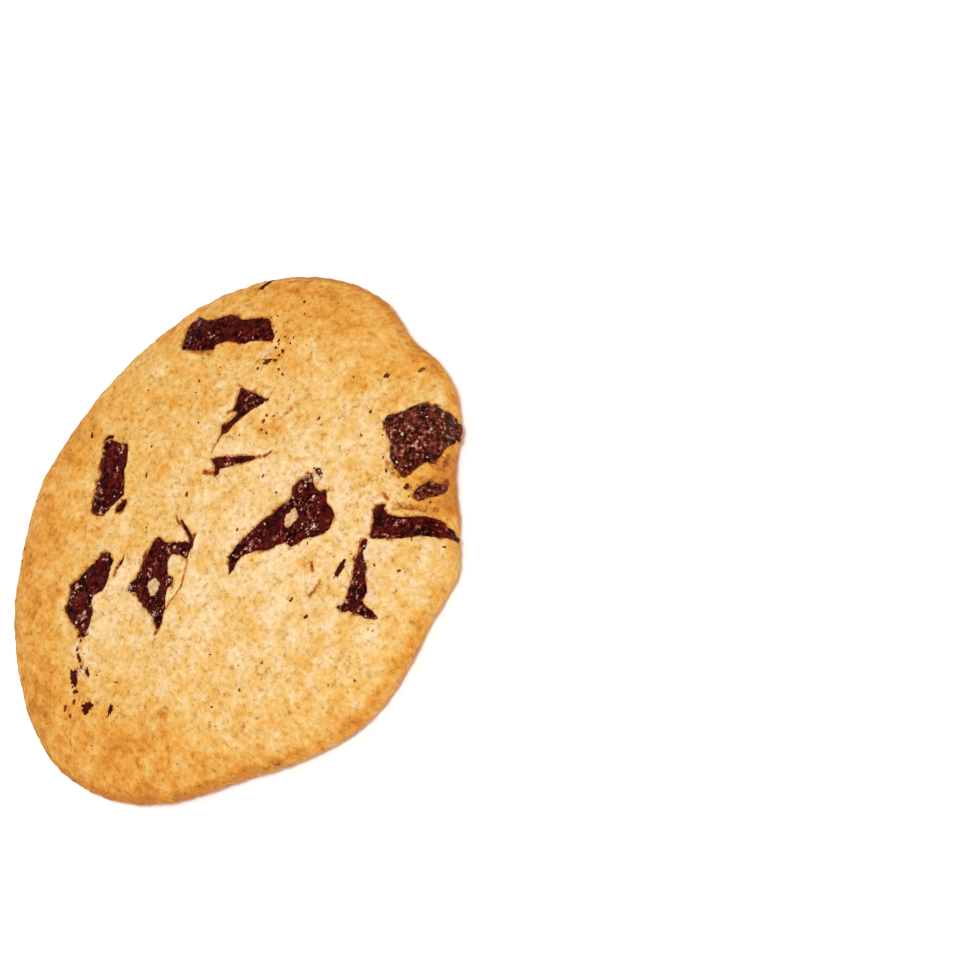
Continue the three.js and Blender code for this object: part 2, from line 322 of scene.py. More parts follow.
def disc_grid(cells):
    """A square grid bent to a disc, whose concentric squares become circles. A place's share of the radius
    is the larger of |a| and |b|, and its angle an eighth of a turn times the smaller over the larger.
    Returns shares, angles, quads, and the outer ring in the order of its angle."""
    a, b = np.meshgrid(*[np.linspace(-1, 1, cells + 1)] * 2, indexing="ij")
    wide = np.abs(a) >= np.abs(b)
    larger = np.where(wide, a, b)
    smaller = np.where(wide, b, -a)
    share = np.abs(larger)
    angle = math.pi / 4 * smaller / np.where(share == 0, 1, larger)
    angle += np.where(wide, 0, math.pi / 2) + np.where(larger < 0, math.pi, 0)
    index = np.arange((cells + 1) ** 2).reshape(cells + 1, cells + 1)
    quads = corners_of(index).reshape(-1, 4)
    ring = np.concatenate([index[-1, :-1], index[:0:-1, -1], index[0, :0:-1], index[:-1, 0]])
    return share.ravel(), angle.ravel(), quads, ring


def crust_profile(share):
    """The section from the middle of the top, over the shoulder and round the lower corner, by the share of
    its length. Returns distance out, height, and the section's outward normal, out and up."""
    turn = np.linspace(0, math.pi / 2, 200)
    crown = np.linspace(0, COOKIE_RADIUS - SHOULDER_INSET, 400)
    out = np.concatenate([
        crown[:-1],
        COOKIE_RADIUS - SHOULDER_INSET * (1 - np.sin(turn)),
        COOKIE_RADIUS - CORNER_RADIUS * (1 - np.cos(turn[1:])),
    ])
    up = np.concatenate([
        np.full(len(crown) - 1, CORNER_RADIUS + SHOULDER_RISE),
        CORNER_RADIUS + SHOULDER_RISE * np.cos(turn),
        CORNER_RADIUS * (1 - np.sin(turn[1:])),
    ])
    up += np.where(up > CORNER_RADIUS, dome(out), 0)
    length = np.concatenate([[0], np.cumsum(np.hypot(np.diff(out), np.diff(up)))])
    at = share * length[-1]
    normal_out = np.interp(at, length, -np.gradient(up, length))
    normal_up = np.interp(at, length, np.gradient(out, length))
    return np.interp(at, length, out), np.interp(at, length, up), normal_out, normal_up


PIT_DEPTH = 0.2


def crust_relief(points, rim):
    """The rise and fall of the crust in millimetres: soft noise of several sizes, fewer and taller the
    larger, with small pits where a fine noise peaks. rim is 1 at the edge and 0 inside."""
    relief = noises(points, [(0.14, 9, 1), (0.14, 4, 2), (0.1 + 0.04 * rim, 2, 3), (0.09 + 0.03 * rim, 1, 4)])
    return relief - PIT_DEPTH * smoothstep(soft_noise(points, 1.5, 5), 0.42, 0.75)


def flat_points(x, y):
    """Places in the plan as rows of points at height 0."""
    return np.stack([x, y, np.zeros_like(x)], -1).reshape(-1, 3)


def ragged(x, y):
    """How far the edge of the chocolate strays from its line: soft noise of two sizes, strong in some
    stretches and faint in others, as the chunks broke clean on some sides and crumbled on others."""
    places = flat_points(x, y)
    strength = 0.3 + 0.9 * smoothstep(soft_noise(places, 6, 14), -0.1, 0.5)
    return (strength * noises(places, [(0.2, 1.3, 11), (0.24, 0.6, 12)])).reshape(x.shape)


FAR = 5.0  # past this distance a chunk leaves no mark on the dough
STEPS_PER_SIDE = 6


def distance_to_chunk(name, x, y):
    """The distance to a chunk, its bits and its runs, negative inside, plus the ragged stray."""
    nearest = np.full(x.shape, FAR)
    broken = [CHUNK_CORNERS[name], *CHUNK_BITS.get(name, [])]
    rings = [outline(corners, len(corners) * STEPS_PER_SIDE)[0] for corners in broken]
    runs = CHUNK_RUNS.get(name, [])
    places = np.concatenate([*rings, *[np.array(run)[:, :2] for run in runs]])
    low, high = places.min(0) - FAR, places.max(0) + FAR
    near = (x > low[0]) & (x < high[0]) & (y > low[1]) & (y < high[1])
    for ring in rings:
        nearest[near] = np.minimum(nearest[near], outside(x[near], y[near], ring))
    for run in runs:
        nearest[near] = np.minimum(nearest[near], distance_to_line(x[near], y[near], run))
    nearest[near] += ragged(x[near], y[near])
    return nearest


def chunk_distance(x, y):
    """The distance to the nearest chunk."""
    return np.minimum.reduce([distance_to_chunk(name, x, y) for name in CHUNK_CORNERS])


def streak_darkness(x, y):
    """How dark the streaks leave a place, by stain along a streak and partly by painted shade along a crease:
    for each, its darkness times a Gaussian of the distance.
    """
    total = np.zeros_like(x)
    for line, width, dark in STREAKS:
        total = np.maximum(total, dark * np.exp(-((distance_to_line(x, y, line) / width) ** 2)))
    return total


POCKET_DEPTH = 1.8
POCKET_WALL = (-0.55, 0.05)  # where the pocket's side ends and starts, by the distance to the chunk
FLOOR_LEFT = 1.3
LIP_HEIGHT = 0.08
LIP_WIDTH = 0.6
CREASE_DEPTH = 0.15
BASE_DIMPLES = 0.12
TOP_CELLS = 280
BASE_CELLS = TOP_CELLS // 2


def round_middle(angle, out, up):
    """Points from their angle round the middle, distance out and height."""
    return np.stack([out * np.cos(angle), out * np.sin(angle), up], 1)


def dough_surface():
    """The whole skin. The top's grid follows the section out to the lower corner, scaled to the uneven edge,
    and moved along its normal by the relief. Round a chunk the relief has a low lip, a Gaussian of the
    distance, and where a chunk lies the skin sinks straight down by the pocket's depth. A coarser grid
    closes the underside, whose ring shares every second point of the top's."""
    share, angle, quads, ring = disc_grid(TOP_CELLS)
    out, up, normal_out, normal_up = crust_profile(share)
    points = round_middle(angle, out * edge_radius(angle) / COOKIE_RADIUS, up)
    x, y = points[:, :2].T.copy()
    points[:, 2] += np.where(normal_up > 0, swell(x, y), 0)
    relief = crust_relief(points, smoothstep(out, 36, 44)) * smoothstep(up, 0, 1.2)
    near = chunk_distance(x, y)
    facing_up = smoothstep(normal_up, 0.05, 0.4)
    lip = LIP_HEIGHT * np.exp(-(((near - LIP_WIDTH) / LIP_WIDTH) ** 2))
    lip *= 1 + 1.5 * soft_noise(points, 2.4, 13)
    relief += facing_up * (lip - CREASE_DEPTH * streak_darkness(x, y))
    sunk = (1 - smoothstep(near, *POCKET_WALL)) * facing_up
    points += relief[:, None] * round_middle(angle, normal_out, normal_up)
    points[:, 2] -= sunk * np.clip(points[:, 2] - FLOOR_LEFT, 0, POCKET_DEPTH)

    base_share, base_angle, base_quads, base_ring = disc_grid(BASE_CELLS)
    base_out = base_share * (COOKIE_RADIUS - CORNER_RADIUS) * edge_radius(base_angle) / COOKIE_RADIUS
    base = round_middle(base_angle, base_out, np.zeros_like(base_out))
    dimples = smoothstep(soft_noise(base, 2.2, 21), -0.1, 0.6) * smoothstep(base_share, 1, 0.96)
    base[:, 2] = BASE_DIMPLES * dimples
    first = len(points)
    inner = base_share < 1
    place = np.where(inner, first + np.cumsum(inner) - 1, 0)
    place[base_ring] = ring[::2]
    points = np.concatenate([points, base[inner]])
    under = place[base_quads][:, ::-1]
    sill = np.stack([np.roll(ring, -2)[::2], ring[1::2], ring[::2]], 1)
    return points, quads.tolist() + under.tolist() + sill.tolist()


# From the cookie's plan to the frame: the middle of the outline's box goes where the frame's dough has it.
all_round = np.linspace(0, 2 * math.pi, 720)
rim_line = edge_radius(all_round) * np.array([np.cos(all_round), np.sin(all_round)])
dough_box = np.array(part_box("dough"))
TO_FRAME = dough_box[:, :2].mean(axis=0) - (rim_line.min(axis=1) + rim_line.max(axis=1)) / 2000


def in_scene(name, data):
    """An object of this data, in the scene."""
    made = bpy.data.objects.new(name, data)
    bpy.context.scene.collection.objects.link(made)
    return made


def laid_in_frame(name, points, faces, **values):
    """A smooth mesh object of points in millimetres, moved to the frame and in metres. Each further value is
    stored for each point, by its name."""
    placed = points / 1000
    placed[:, :2] += TO_FRAME
    mesh = bpy.data.meshes.new(name)
    mesh.from_pydata(placed, [], faces)
    mesh.shade_smooth()
    for word, value in values.items():
        kind, field = ("FLOAT", "value") if value.ndim == 1 else ("FLOAT_VECTOR", "vector")
        mesh.attributes.new(word, kind, "POINT").data.foreach_set(field, value.astype(np.float32).ravel())
    return in_scene(name, mesh)


# The crust is palest round one place, browns away from it and towards the edge, and stays pale on one side.
# That place and side lie towards the key lamp, so their paleness is partly less browning and partly painted
# light.
PALE_LIT_MIDDLE = (1, -20)
PALE_LIT_SIDE = math.radians(299)
PALE_SPREAD = 0.9
PALEST = 0.26
AWAY_BROWNING_AND_SHADE = 0.3
EDGE_BROWNING = 0.34

# Patches that browned more or less than what lies round them: x, y, reach, how much.
BROWNED_PATCHES = [
    (-34, -17, 7, 0.25),
    (-37, -8, 5, 0.2),
    (-39, 10, 6, 0.25),
    (-28, 24, 6, 0.15),
    (-18, 34, 6, 0.15),
    (-4, 39, 6, 0.25),
    (40, 8, 8, 0.2),
    (40, -15, 5, 0.2),
    (28, -32, 3.5, 0.95),
    (24, -36, 3, 0.7),
    (23, -30, 2.5, 0.4),
    (18, 0, 2.5, 0.35),
    (-16, 6, 6, -0.25),
    (-27, 6, 5, -0.3),
    (13, 36, 8, -0.2),
]


def browning(x, y, z, near):
    """How far the crust has browned, from 0 for cream to 1 for amber: a rise with the distance from the pale
    middle, another towards the edge, a bell for each patch, soft noise, and a little less close to a chunk.
    The pale middle and side are partly painted light. The underside, flat on the hot tray, is evenly brown."""
    from_pale = np.hypot(x - PALE_LIT_MIDDLE[0], y - PALE_LIT_MIDDLE[1])
    turned = np.angle(np.exp(1j * (np.arctan2(y, x) - PALE_LIT_SIDE)))
    rim = smoothstep(evened(x, y), 20, 46) * (1 - np.exp(-((turned / PALE_SPREAD) ** 2)))
    toast = PALEST + AWAY_BROWNING_AND_SHADE * smoothstep(from_pale, 12, 48) + EDGE_BROWNING * rim
    toast += bells(x, y, BROWNED_PATCHES)
    places = flat_points(x, y)
    toast += noises(places, [(0.14, 7, 31), (0.12, 3.4, 32)])
    toast += 0.18 * smoothstep(soft_noise(places, 5, 33), 0.4, 0.8)
    toast -= 0.12 * np.exp(-((near / 1.8) ** 2))
    return toast + 0.5 * (1 - smoothstep(z, 0, 1.6)) + 0.45 * smoothstep(evened(x, y), 43.7, 44.5)


THIN_MELT = 0.3
THIN_DARKNESS = 0.46
WIDE_MELT = 0.9
WIDE_DARKNESS = 0.75


def melted(x, y, near):
    """How much chocolate soaked into the crust, 0 to 1: a thin line along every chunk, a wider stain in some
    stretches, both Gaussians of the distance, or what a streak leaves if that is more."""
    patchy = smoothstep(noises(flat_points(x, y), [(1, 3.4, 34), (0.7, 1.1, 35), (0.4, 0.6, 36)]), -0.1, 1.0)
    beyond = np.clip(near, 0, None)
    thin = THIN_DARKNESS * np.exp(-((beyond / THIN_MELT) ** 2))
    wide = WIDE_DARKNESS * patchy * np.exp(-((beyond / WIDE_MELT) ** 2))
    return np.maximum(np.maximum(thin, wide), streak_darkness(x, y))


def floured(x, y):
    """How thick the flour and crumbs lie, 0 to 1: a Gaussian bell for each place."""
    total = np.zeros_like(x)
    for at_x, at_y, reach in FLOUR:
        total = np.maximum(total, np.exp(-((x - at_x) ** 2 + (y - at_y) ** 2) / reach**2))
    return total


points, faces = dough_surface()
x, y, z = points.T
near = chunk_distance(x, y)
crust = smoothstep(z, 1, 3)
# The stored tone of the crust is partly painted light, paler on the side the key lamp lights most.
dough = laid_in_frame(
    "baked_dough",
    points,
    faces,
    toast=browning(x, y, z, near),
    melt=melted(x, y, near) * crust,
    flour=floured(x, y) * crust,
)


def colour(red, green, blue):
    """A colour given as it looks on a screen, 0 to 255, as the linear light that a shader takes: the share
    to the power 2.4 after its offset, or a twelfth part of it near black."""
    share = np.array([red, green, blue]) / 255
    linear = np.where(share > 0.04045, ((share + 0.055) / 1.055) ** 2.4, share / 12.92)
    return (*linear.tolist(), 1.0)


def put(tree, kind, settings=None, **inputs):
    """A node of this kind. Each input takes a value, or the output of another node; an underscore in its
    name stands for a space, and a number after the last one picks among sockets of one name."""
    made = tree.nodes.new("ShaderNode" + kind)
    for word, value in (settings or {}).items():
        setattr(made, word, value)
    for word, value in inputs.items():
        socket = made.inputs[int(word[1:]) if word[1:].isdigit() else word.replace("_", " ")]
        if isinstance(value, bpy.types.NodeSocket):
            tree.links.new(value, socket)
        else:
            socket.default_value = value
    return made.outputs


def blended(tree, share, first, second, way="MIX"):
    """The two colours mixed by a share, in the way named."""
    mix = tree.nodes.new("ShaderNodeMix")
    mix.data_type = "RGBA"
    mix.blend_type = way
    for socket, value in zip((0, 6, 7), (share, first, second)):
        if isinstance(value, bpy.types.NodeSocket):
            tree.links.new(value, mix.inputs[socket])
        else:
            mix.inputs[socket].default_value = value
    return mix.outputs[2]


def sum_of(tree, value, times, plus, clamp=False):
    """The value times the second, plus the third, each a number or a node's output."""
    settings = {"operation": "MULTIPLY_ADD", "use_clamp": clamp}
    return put(tree, "Math", settings, _0=value, _1=times, _2=plus)[0]


def noise_of(tree, place, millimetres, detail=2.0, rough=0.55, twist=0.0):
    """Noise with features of this size."""
    return put(tree, "TexNoise", Vector=place, Scale=1000 / millimetres, Detail=detail, Roughness=rough,
               Distortion=twist)[0]


def ramp_of(tree, value, stops):
    """A colour that runs through the stops, each a place from 0 to 1 and a colour."""
    made = tree.nodes.new("ShaderNodeValToRGB")
    while len(made.color_ramp.elements) < len(stops):
        made.color_ramp.elements.new(0.5)
    for element, (place, tint) in zip(made.color_ramp.elements, stops):
        element.position = place
        element.color = tint
    tree.links.new(value, made.inputs[0])
    return made.outputs[0]


def shifted(tree, value, noise, times, plus=0.0):
    """The value, plus a noise's departure from its middle times a number, plus another number."""
    return sum_of(tree, noise, times, sum_of(tree, value, 1, plus - times / 2))


def stored(tree, *words):
    """The values that the mesh stores under these names."""
    return [put(tree, "Attribute", {"attribute_name": word})["Fac"] for word in words]


def new_material(name):
    """An empty material with a Principled shader, and its tree and shader."""
    made = bpy.data.materials.new(name)
    made.use_nodes = True
    return made, made.node_tree, made.node_tree.nodes["Principled BSDF"]


def finish(tree, shader, tint, rough, specular, height, metres):
    """Gives the shader its colour and roughness, its specular level, and a bump as high as its distance in
    metres."""
    bump = put(tree, "Bump", Strength=1.0, Distance=metres, Height=height)[0]
    for word, value in (("Base Color", tint), ("Roughness", rough), ("Normal", bump)):
        tree.links.new(value, shader.inputs[word])
    shader.inputs["Specular IOR Level"].default_value = specular


BROWN_SUGAR = colour(170, 104, 34)
FLOUR_WHITE = colour(242, 221, 196)
CRUMB_SPECULAR = 0.25
SPREAD_WAY = (1.1, 0.8, 1)  # how the pattern is squeezed, so that it is longer the way the dough spread

# The colours of the crust from cream through golden and amber to brown.
BROWNING_COLOURS = [(0.0, colour(251, 218, 168)), (0.36, colour(243, 194, 112)), (0.72, colour(238, 166, 66)),
                    (1.0, colour(214, 132, 42))]
# What the grains do to it, as a share of its red, green and blue: the crumb's own grain, with painted shade
# in their hollows and painted light on their tops.
GRAIN_SHADES = [(0.3, (0.54, 0.37, 0.16, 1)), (0.43, (0.91, 0.85, 0.71, 1)), (0.54, (1, 1, 1, 1)),
                (0.68, (1.11, 1.11, 1.12, 1))]
# Its colours from where a little chocolate soaked in to where it is all chocolate.
SOAKED = [(0.24, colour(228, 158, 66)), (0.46, colour(206, 124, 42)), (0.64, colour(148, 68, 22)),
          (0.82, colour(78, 18, 8))]


def baked_crumb():
    """The crumb's colour follows the stored browning, partly painted light, shifted by a mottle from a half
    to four millimetres wide, with small toasted spots. Grains a half to one millimetre wide darken it, most
    of all its blue, and lighten it at their tops: the crumb's own grain, with painted shade in their hollows
    and painted light on their tops. Brown sugar leaves a few flecks. All are a little longer the way the
    dough spread. Over them lie the chocolate that soaked in, with painted shade in the creases, and flour.
    The bump is the grain, finer than the mesh can hold."""
    made, tree, shader = new_material("baked_crumb")
    place = put(tree, "Mapping", Vector=put(tree, "TexCoord")["Object"], Scale=SPREAD_WAY)[0]
    toast, melt, flour = stored(tree, "toast", "melt", "flour")
    mottle = noise_of(tree, place, 3.0, 4, 0.75)
    spots = sum_of(tree, noise_of(tree, place, 2.6, 4, 0.75), 9, -5.5, True)
    browned = sum_of(tree, spots, 0.35, shifted(tree, toast, mottle, 2.3))
    crumb = ramp_of(tree, sum_of(tree, browned, 0.75, 0), BROWNING_COLOURS)
    grain = noise_of(tree, place, 0.95, 4, 0.7)
    shaded = blended(tree, 1.0, crumb, ramp_of(tree, grain, GRAIN_SHADES), "MULTIPLY")
    cell = put(tree, "TexVoronoi", Vector=place, Scale=320.0, Randomness=1.0)["Distance"]
    rare = noise_of(tree, place, 2.2, 1)
    speck = sum_of(tree, shifted(tree, sum_of(tree, cell, -1, 0), rare, 0.8, -0.06), 14, 0, True)
    specked = blended(tree, sum_of(tree, speck, 0.8, 0), shaded, BROWN_SUGAR)
    patchy = noise_of(tree, place, 0.7, 3, 0.6)
    soaked = shifted(tree, melt, patchy, 0.9)
    stained = blended(tree, sum_of(tree, soaked, 3.4, -0.65, True), specked, ramp_of(tree, soaked, SOAKED))
    dusting = sum_of(tree, sum_of(tree, shifted(tree, flour, grain, 3), 1.2, -0.5, True), 0.8, 0)
    dusted = blended(tree, dusting, stained, FLOUR_WHITE)
    fine = noise_of(tree, place, 0.8, 4, 0.7)
    finish(tree, shader, dusted, sum_of(tree, grain, -0.3, 0.85), CRUMB_SPECULAR, fine, 0.00034)
    return made


dough.data.materials.append(baked_crumb())
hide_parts("dough")
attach(dough, "root")


# The chunks of dark chocolate. A bar was chopped by hand, so they are broken pieces of all shapes. In the
# oven they softened where they lay, sagged into the dough and set again, here smooth and there crinkled.

# How far each stands over the dough, how rough it is, the direction of its grain, in degrees, with how many
# times longer than wide the grains are, and where its noise starts.
CHUNKS = {
    "bar": (0.15, 1.2, -64, 1.4, 40),
    "hook": (0.0, 0.7, -30, 1.3, 43),
    "wedge": (0.0, 1.0, -58, 1.3, 46),
    "slab": (0.1, 1.1, 37, 1.7, 49),
    "leaf": (0.05, 0.9, 20, 1.5, 52),
    "kite": (0.05, 0.7, 20, 1.3, 55),
    "shard": (0.1, 1.0, -18, 1.4, 58),
    "lump": (1.2, 2.2, 0, 1.0, 61),
    "stub": (0.2, 1.6, 0, 1.0, 64),
    "band": (0.0, 1.0, -60, 2.2, 67),
    "post": (0.0, 1.2, 30, 1.6, 70),
}
CHUNK_DEPTH = 3.4
THINNEST = 0.3
UNDER_CHUNK = 0.4  # how much more dough lies under a chunk than under its pocket at least
CELL = 0.15
EDGE_FALL = 0.2
ROUNDED_EDGE = 0.7
PROUD_ROUNDING = 1.2  # how much wider the rounding is for each millimetre that the chunk stands proud
RIM_TUCK = 1.0
WALL_ROWS = [(0.12, 0.05), (0.5, 0.08)]  # how far down the side each lies, as a share, and how far it bulges


def cells_within(places, distance):
    """Square cells over a plan that holds the places, cut off where the distance turns positive. A cell is
    kept where its corners' mean is inside, and where two kept cells would touch at one corner alone, one
    between them is kept as well. Corners on the border then move down the distance's slope onto the edge.
    Returns the corners, how far in each lies, the way out, and the quads."""
    low, high = np.min(places, 0) - 1, np.max(places, 0) + 1
    x, y = np.meshgrid(np.arange(low[0], high[0], CELL), np.arange(low[1], high[1], CELL), indexing="ij")
    away = distance(x, y)
    kept = away[:-1, :-1] + away[1:, :-1] + away[1:, 1:] + away[:-1, 1:] < 0
    for _ in range(3):
        near, right, far, left = kept[:-1, :-1], kept[1:, :-1], kept[1:, 1:], kept[:-1, 1:]
        right |= near & far & ~left
        near |= left & right & ~far
    index = np.arange(x.size).reshape(x.shape)
    used, quads = np.unique(corners_of(index)[kept], return_inverse=True)
    slope = np.stack(np.gradient(away, CELL), -1).reshape(-1, 2)[used]
    out = slope / np.maximum(np.linalg.norm(slope, axis=1), 0.3)[:, None]
    place = np.stack([x, y], -1).reshape(-1, 2)[used]
    quads = quads.reshape(-1, 4)
    rim = np.unique(border_of(quads)[0])
    depth_in = -away.ravel()[used]
    place[rim] += np.clip(depth_in[rim], -0.6 * CELL, 0.6 * CELL)[:, None] * out[rim]
    depth_in[rim] = 0
    return place, np.clip(depth_in, 0, None), out, quads


def border_of(quads):
    """The starts and ends of the sides that only one quad has: no other quad has them the other way round."""
    start, end = quads.ravel(), np.roll(quads, -1, 1).ravel()
    many = quads.max() + 1
    alone = ~np.isin(start * many + end, end * many + start)
    return start[alone], end[alone]


def walled(place, out, quads, top, bottom, proud):
    """A closed skin: the quads at their top heights, the same turned over at their bottom heights, and rows
    of quads between their borders that bulge outwards. Returns the points and faces, and for each point the
    plan's corner that it came from and how far down it lies, as a share."""
    start, end = border_of(quads)
    rim = np.unique(start)
    many, round_rim = len(place), np.arange(len(rim))
    source = np.concatenate([np.arange(many), *[rim for _ in WALL_ROWS], np.arange(many)])
    rows_down = [np.full(len(rim), share) for share, _ in WALL_ROWS]
    down = np.concatenate([np.zeros(many), *rows_down, np.ones(many)])
    bulge = np.zeros(len(source))
    rows = [(start, end)]
    for number, (_, swell_out) in enumerate(WALL_ROWS):
        first = many + number * len(rim)
        bulge[first + round_rim] = swell_out * (1 + 2 * max(proud, 0))
        rows.append((first + np.searchsorted(rim, start), first + np.searchsorted(rim, end)))
    last = len(source) - many
    rows.append((last + start, last + end))
    walls = [np.stack([e, s, under_s, under_e], 1) for (s, e), (under_s, under_e) in zip(rows, rows[1:])]
    flat = place[source] + bulge[:, None] * out[source]
    z = top[source] + (bottom - top)[source] * down
    faces = np.concatenate([quads, *walls, last + quads[:, ::-1]]).tolist()
    return np.column_stack([flat, z]), faces, source, down


def grain_of(name, x, y):
    """A place measured along and across the chunk's grain, the length shrunk by its stretch, and its seed."""
    *_, turn, stretch, seed = CHUNKS[name]
    a = math.radians(turn)
    along, across = x * math.cos(a) + y * math.sin(a), y * math.cos(a) - x * math.sin(a)
    return np.stack([along / stretch, across, np.full_like(x, seed)], 1)


def ridged(points, size, seed):
    """Noise with a sharp crest where soft noise crosses zero: a half less twice its size."""
    return 0.5 - 2 * np.abs(soft_noise(points, size, seed))


def chunk_top(name, x, y, depth_in):
    """The chunk's height: the dough's, plus how far it stands proud, less a quarter ellipse near its edge,
    and crinkles of soft and ridged noise that fade out at the edge."""
    proud, rough, *_, seed = CHUNKS[name]
    inset = np.clip(depth_in / (ROUNDED_EDGE + PROUD_ROUNDING * max(proud, 0)), 0, 1)
    fall = (EDGE_FALL + proud) * (1 - np.sqrt(1 - (1 - inset) ** 2))
    grain = grain_of(name, x, y)
    crinkle = noises(grain, [(0.3, 4, seed), (0.06, 0.45, seed)])
    crinkle += 0.16 * ridged(grain, 1.7, seed + 1) + 0.08 * ridged(grain, 0.8, seed + 2)
    return top_height(x, y) + proud - fall + rough * crinkle * (0.3 + 0.7 * inset)


def chunk_surface(name):
    """The chunk's whole skin, with each point's depth in, which is its distance from the outline and grows
    down the side, and its place in the grain. At the cookie's edge the chunk narrows downwards, so that its
    foot stays within the dough."""
    places = [*CHUNK_CORNERS[name], *sum(CHUNK_BITS.get(name, []), [])]
    places += [spot[:2] for run in CHUNK_RUNS.get(name, []) for spot in run]
    place, depth_in, out, quads = cells_within(places, lambda x, y: distance_to_chunk(name, x, y))
    x, y = place.T
    top = chunk_top(name, x, y, depth_in)
    bottom = np.maximum(FLOOR_LEFT + UNDER_CHUNK, top_height(x, y) - CHUNK_DEPTH)
    bottom = np.minimum(bottom, top - THINNEST)
    points, faces, source, down = walled(place, out, quads, top, bottom, CHUNKS[name][0])
    tucked = RIM_TUCK * down * smoothstep(evened(*points.T[:2]), 42, 44.5)
    points[:, :2] *= (1 - tucked / COOKIE_RADIUS)[:, None]
    grain = grain_of(name, *points.T[:2]) + points * (0, 0, 1)
    return points, faces, depth_in[source] + 0.4 * down, grain / 1000


# The colours from painted shade in the hollows between the granules, through the chocolate's own
# red-brown, to painted glints on their tops.
DARK_GRANULES_SHADE_TO_GLINT = [(0.38, colour(34, 2, 1)), (0.49, colour(66, 7, 4)), (0.56, colour(96, 24, 14)),
                 (0.62, colour(146, 76, 56)), (0.7, colour(222, 172, 148))]
DULL_GRANULES_SHADE_TO_GLINT = [(0.36, colour(48, 7, 4)), (0.48, colour(90, 28, 15)), (0.56, colour(122, 50, 32)),
                 (0.65, colour(150, 88, 68)), (0.74, colour(210, 164, 140))]
MELT_SHADES = [(0.38, (0.38, 0.3, 0.3, 1)), (0.66, (1.7, 1.9, 1.9, 1))]
CRUMB_ON_CHOCOLATE = colour(136, 56, 22)
MELT_SPECULAR = 0.12


def set_chocolate(name, granules, gloss, crumbled):
    """Chocolate that melted and set again. The granules' colours run from painted shade in their hollows,
    through the chocolate's own dark red-brown, to painted glints on their tops, further apart in the patches
    that crumbled, and the whole is darker in some stretches of its grain and lighter in others. It is browner
    along its edge, where it is thin, and dusted with flour in places. The bump is soft folds along the grain,
    and the granules, strong in the patches alone."""
    made, tree, shader = new_material(name)
    edge, flour = stored(tree, "edge", "flour")
    place = put(tree, "Attribute", {"attribute_name": "grain"})["Vector"]
    patches = sum_of(tree, noise_of(tree, place, 3.2, 3, 0.6, 0.8), 6, crumbled, True)
    granule = noise_of(tree, put(tree, "TexCoord")["Object"], 0.7, 4, 0.68)
    spread = sum_of(tree, sum_of(tree, granule, 1, -0.5), sum_of(tree, patches, 1.3, 0.4), 0.5)
    depth = ramp_of(tree, noise_of(tree, place, 2.0, 4, 0.65, 0.5), MELT_SHADES)
    mass = blended(tree, 1.0, ramp_of(tree, spread, granules), depth, "MULTIPLY")
    thin = sum_of(tree, shifted(tree, sum_of(tree, edge, -2.6, 0.3), granule, 2.4), 3, 0, True)
    edged = blended(tree, thin, mass, CRUMB_ON_CHOCOLATE)
    dust = sum_of(tree, shifted(tree, flour, granule, 3.4), 2.2, -2.0, True)
    dusted = blended(tree, dust, edged, FLOUR_WHITE)
    folds = noise_of(tree, place, 1.3, 2, 0.5, 0.5)
    height = sum_of(tree, granule, sum_of(tree, patches, 1.0, 0.2), folds)
    finish(tree, shader, dusted, sum_of(tree, granule, 0.3, gloss - 0.15), MELT_SPECULAR, height, 0.0004)
    return made


# Both chocolates carry painted shade in the granules' hollows and painted glints on their tops.
dark = set_chocolate("dark_chocolate", DARK_GRANULES_SHADE_TO_GLINT, 0.28, -2.8)
dull = set_chocolate("dull_chocolate", DULL_GRANULES_SHADE_TO_GLINT, 0.32, -2.0)
for name in CHUNKS:
    points, faces, edge, grain = chunk_surface(name)
    chunk = laid_in_frame(
        f"chocolate_{name}", points, faces, edge=edge, grain=grain, flour=floured(points[:, 0], points[:, 1])
    )
    chunk.data.materials.append(dull if name in ("lump", "stub") else dark)
    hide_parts(f"chunk_{name}")
    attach(chunk, "root")


# Dabs of dough on two of the chunks. When the cookie spread, a little dough stayed on the chocolate.

DABS = {
    "kite": [(-12.6, 3.8), (-12, 2.9), (-12.2, 1.5), (-13.5, 1.1), (-14.5, 1.3), (-14.3, 2.7), (-13.4, 3.9)],
    "shard": [(10.3, -14.3), (9.6, -15.8), (8.1, -15.6), (7.2, -15.3), (7.4, -14.3), (8.2, -13.7),
              (9.4, -13.8)],
}
DAB_RISE = 0.3
DAB_EDGE = 0.7


def dab_surface(name, corners):
    """A flat drop on the chunk, whose outline is ragged and whose edge rounds over by a quarter circle."""
    ring, _ = outline(corners, 60)
    place, depth_in, out, quads = cells_within(corners, lambda x, y: outside(x, y, ring) + ragged(x, y))
    x, y = place.T
    lying = chunk_top(name, x, y, np.full_like(x, CHUNK_DEPTH))
    drop = DAB_RISE * np.sqrt(1 - (1 - np.clip(depth_in / DAB_EDGE, 0, 1)) ** 2)
    lumpy = 0.1 * soft_noise(np.column_stack([place, lying]), 0.6, 90)
    return walled(place, out, quads, lying + drop + lumpy, lying - DAB_RISE, 0)[:2]


def joined(shapes):
    """Several surfaces as one: their points in a row, and their faces' numbers moved on to match."""
    points, faces, first = [], [], 0
    for some_points, some_faces in shapes:
        points.append(some_points)
        faces += [[first + i for i in face] for face in some_faces]
        first += len(some_points)
    return np.concatenate(points), faces


dabs = laid_in_frame("dough_dabs", *joined([dab_surface(*dab) for dab in DABS.items()]))


